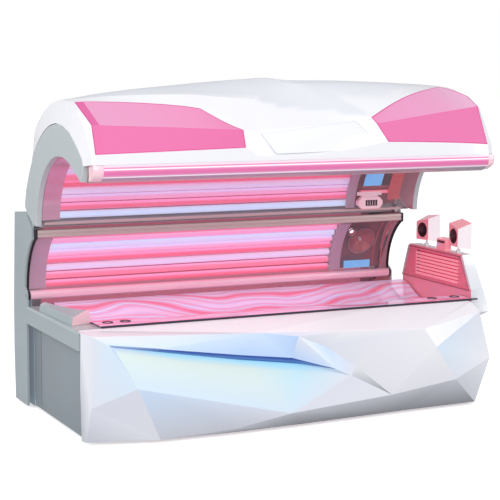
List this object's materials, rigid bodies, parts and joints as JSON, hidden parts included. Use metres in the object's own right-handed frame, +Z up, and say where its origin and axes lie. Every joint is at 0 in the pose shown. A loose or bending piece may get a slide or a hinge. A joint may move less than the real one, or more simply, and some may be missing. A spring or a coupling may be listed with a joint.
{
  "type": "clamshell tanning bed",
  "caption": "Clamshell tanning bed with a hinged curved canopy over a faceted base, lit lamp banks behind clear sheets, coloured canopy lenses and a head console with speakers.",
  "frame": {"origin": "on the floor, under the middle of the overall footprint with the canopy open", "axes": "+X along the bed from the foot end to the head end with the console, +Y from the open front to the rear housing, +Z up"},
  "size_m": [2.445, 1.235, 1.747],
  "materials": {
    "white_gloss": "high-gloss white moulding",
    "white_satin": "satin white paint",
    "gray_gloss": "cool grey gloss moulding",
    "gray_side": "grey gloss moulding",
    "pink_lens": "pink translucent moulding, lit from behind",
    "strip_lens": "rose diffuser",
    "blue_lens": "deep blue light guide",
    "clear_sheet": "clear UV-transmitting acrylic",
    "tube_red": "lit red-pink fluorescent tube",
    "tube_blue": "lit pale blue fluorescent tube",
    "reflector": "polished reflector sheet",
    "tanner_glass": "dished high-pressure burner reflector",
    "rail_alu": "satin anodised extrusion",
    "steel": "zinc-plated steel",
    "ballast": "dark enamel",
    "holder": "moulded lampholder strip",
    "gasket": "black moulding",
    "grip": "black grommet",
    "foot": "black pad",
    "vent": "satin panel in pink lamp light",
    "fan": "black moulded rotor",
    "speaker": "white cabinet with dark driver",
    "keypad": "silver-white moulding",
    "key": "grey rocker",
    "rod": "polished rod",
    "tube": "black enamel"
  },
  "bodies": {
    "base": {"floor_tray": "steel", "levelling_feet": "foot", "end_frames": "steel", "ballast_units": "ballast", "rear_posts": "steel", "front_panel": "white_gloss", "front_slot_lens": "blue_lens", "foot_side_rail": "gray_side", "foot_side_panel": "gray_side", "head_side_panel": "white_gloss", "foot_end_cover": "gray_side", "rear_cheeks": "gray_side", "rear_cover": "white_satin", "fan_housings": "fan", "side_reflector": "reflector", "shoulder_tanner": "tanner_glass", "bench_reflector": "reflector", "base_lamps_red": "tube_red", "base_lamps_blue": "tube_blue", "base_lamp_holders": "holder", "console_shell": "white_gloss", "console_cap": "white_gloss", "console_vent_panel": "vent", "console_louvres": "vent", "console_cover_plate": "clear_sheet", "audio_socket_box": "white_gloss"},
    "side_sheet": {"side_acrylic": "clear_sheet", "side_top_rail": "rail_alu", "side_bottom_rail": "rail_alu", "side_gaskets": "gasket"},
    "bench_sheet": {"bench_acrylic": "clear_sheet", "bench_sheet_grips": "grip"},
    "canopy": {"canopy_shell": "white_gloss", "canopy_lenses": "pink_lens", "canopy_end_panels": "gray_gloss", "canopy_back_cover": "gray_gloss", "canopy_frame": "steel", "canopy_acrylic": "clear_sheet", "canopy_reflector": "reflector", "canopy_lamps_red": "tube_red", "canopy_lamps_blue": "tube_blue", "canopy_lamp_holders": "holder", "canopy_rails": "rail_alu", "light_strip": "strip_lens", "face_tanner": "tanner_glass", "control_panel": "keypad"},
    "gas_cylinder_foot": {"gas_cylinder_foot": "tube"},
    "gas_cylinder_head": {"gas_cylinder_head": "tube"},
    "gas_rod_foot": {"gas_rod_foot": "rod"},
    "gas_rod_head": {"gas_rod_head": "rod"},
    "exhaust_fan_foot": {"exhaust_fan_foot": "fan"},
    "exhaust_fan_head": {"exhaust_fan_head": "fan"},
    "console_fan": {"console_fan": "fan"},
    "speaker_rear": {"speaker_rear": "speaker"},
    "speaker_front": {"speaker_front": "speaker"},
    "key_1": {"key_1": "key"},
    "key_2": {"key_2": "key"},
    "key_3": {"key_3": "key"},
    "key_4": {"key_4": "key"},
    "key_5": {"key_5": "key"}
  },
  "joints": [
    {"name": "canopy_hinge", "type": "hinge", "parent": "base", "child": "canopy", "pos_m": [0, 0.2645, 0.985], "axis": [-1, 0, 0], "range_deg": [-40, 0]},
    {"name": "side_sheet_hinge", "type": "hinge", "parent": "base", "child": "side_sheet", "pos_m": [0, 0.4005, 0.604], "axis": [-1, 0, 0], "range_deg": [-60, 0]},
    {"name": "bench_sheet_hinge", "type": "hinge", "parent": "base", "child": "bench_sheet", "pos_m": [0, 0.3825, 0.553], "axis": [-1, 0, 0], "range_deg": [0, 20]},
    {"name": "gas_cylinder_foot_pivot", "type": "hinge", "parent": "base", "child": "gas_cylinder_foot", "pos_m": [-1.1965, 0.5345, 0.56], "axis": [-1, 0, 0], "range_deg": [-0.5, 2.5]},
    {"name": "gas_rod_foot_slide", "type": "slide", "parent": "gas_cylinder_foot", "child": "gas_rod_foot", "axis": [0, -0.467, 0.8843], "range_m": [-0.001, 0.038]},
    {"name": "gas_cylinder_head_pivot", "type": "hinge", "parent": "base", "child": "gas_cylinder_head", "pos_m": [0.9625, 0.5345, 0.56], "axis": [-1, 0, 0], "range_deg": [-0.5, 2.5]},
    {"name": "gas_rod_head_slide", "type": "slide", "parent": "gas_cylinder_head", "child": "gas_rod_head", "axis": [0, -0.467, 0.8843], "range_m": [-0.001, 0.038]},
    {"name": "exhaust_fan_foot_spin", "type": "hinge", "parent": "base", "child": "exhaust_fan_foot", "pos_m": [-0.6625, 0.5605, 0.3], "axis": [0, 1, 0], "continuous": true},
    {"name": "exhaust_fan_head_spin", "type": "hinge", "parent": "base", "child": "exhaust_fan_head", "pos_m": [0.4275, 0.5605, 0.3], "axis": [0, 1, 0], "continuous": true},
    {"name": "console_fan_spin", "type": "hinge", "parent": "base", "child": "console_fan", "pos_m": [1.0935, 0.0245, 0.68], "axis": [1, 0, 0], "continuous": true},
    {"name": "speaker_rear_swivel", "type": "hinge", "parent": "base", "child": "speaker_rear", "pos_m": [1.1175, 0.1985, 0.797], "axis": [0, 0, 1], "range_deg": [-15, 15]},
    {"name": "speaker_front_swivel", "type": "hinge", "parent": "base", "child": "speaker_front", "pos_m": [1.1175, -0.1355, 0.797], "axis": [0, 0, 1], "range_deg": [-15, 15]},
    {"name": "key_1_rocker", "type": "hinge", "parent": "canopy", "child": "key_1", "pos_m": [0.6935, 0.1665, 1.044], "axis": [1, 0, 0], "range_deg": [-6, 6], "stiffness_Nm_per_rad": 0.08},
    {"name": "key_2_rocker", "type": "hinge", "parent": "canopy", "child": "key_2", "pos_m": [0.709, 0.1665, 1.044], "axis": [1, 0, 0], "range_deg": [-6, 6], "stiffness_Nm_per_rad": 0.08},
    {"name": "key_3_rocker", "type": "hinge", "parent": "canopy", "child": "key_3", "pos_m": [0.7245, 0.1665, 1.044], "axis": [1, 0, 0], "range_deg": [-6, 6], "stiffness_Nm_per_rad": 0.08},
    {"name": "key_4_rocker", "type": "hinge", "parent": "canopy", "child": "key_4", "pos_m": [0.74, 0.1665, 1.044], "axis": [1, 0, 0], "range_deg": [-6, 6], "stiffness_Nm_per_rad": 0.08},
    {"name": "key_5_rocker", "type": "hinge", "parent": "canopy", "child": "key_5", "pos_m": [0.7555, 0.1665, 1.044], "axis": [1, 0, 0], "range_deg": [-6, 6], "stiffness_Nm_per_rad": 0.08}
  ],
  "couplings": [
    {"joint": "gas_cylinder_foot_pivot", "follows": "canopy_hinge", "ratio": -0.0555},
    {"joint": "gas_rod_foot_slide", "follows": "canopy_hinge", "m_per_rad": -0.05252},
    {"joint": "gas_cylinder_head_pivot", "follows": "canopy_hinge", "ratio": -0.0555},
    {"joint": "gas_rod_head_slide", "follows": "canopy_hinge", "m_per_rad": -0.05252}
  ]
}
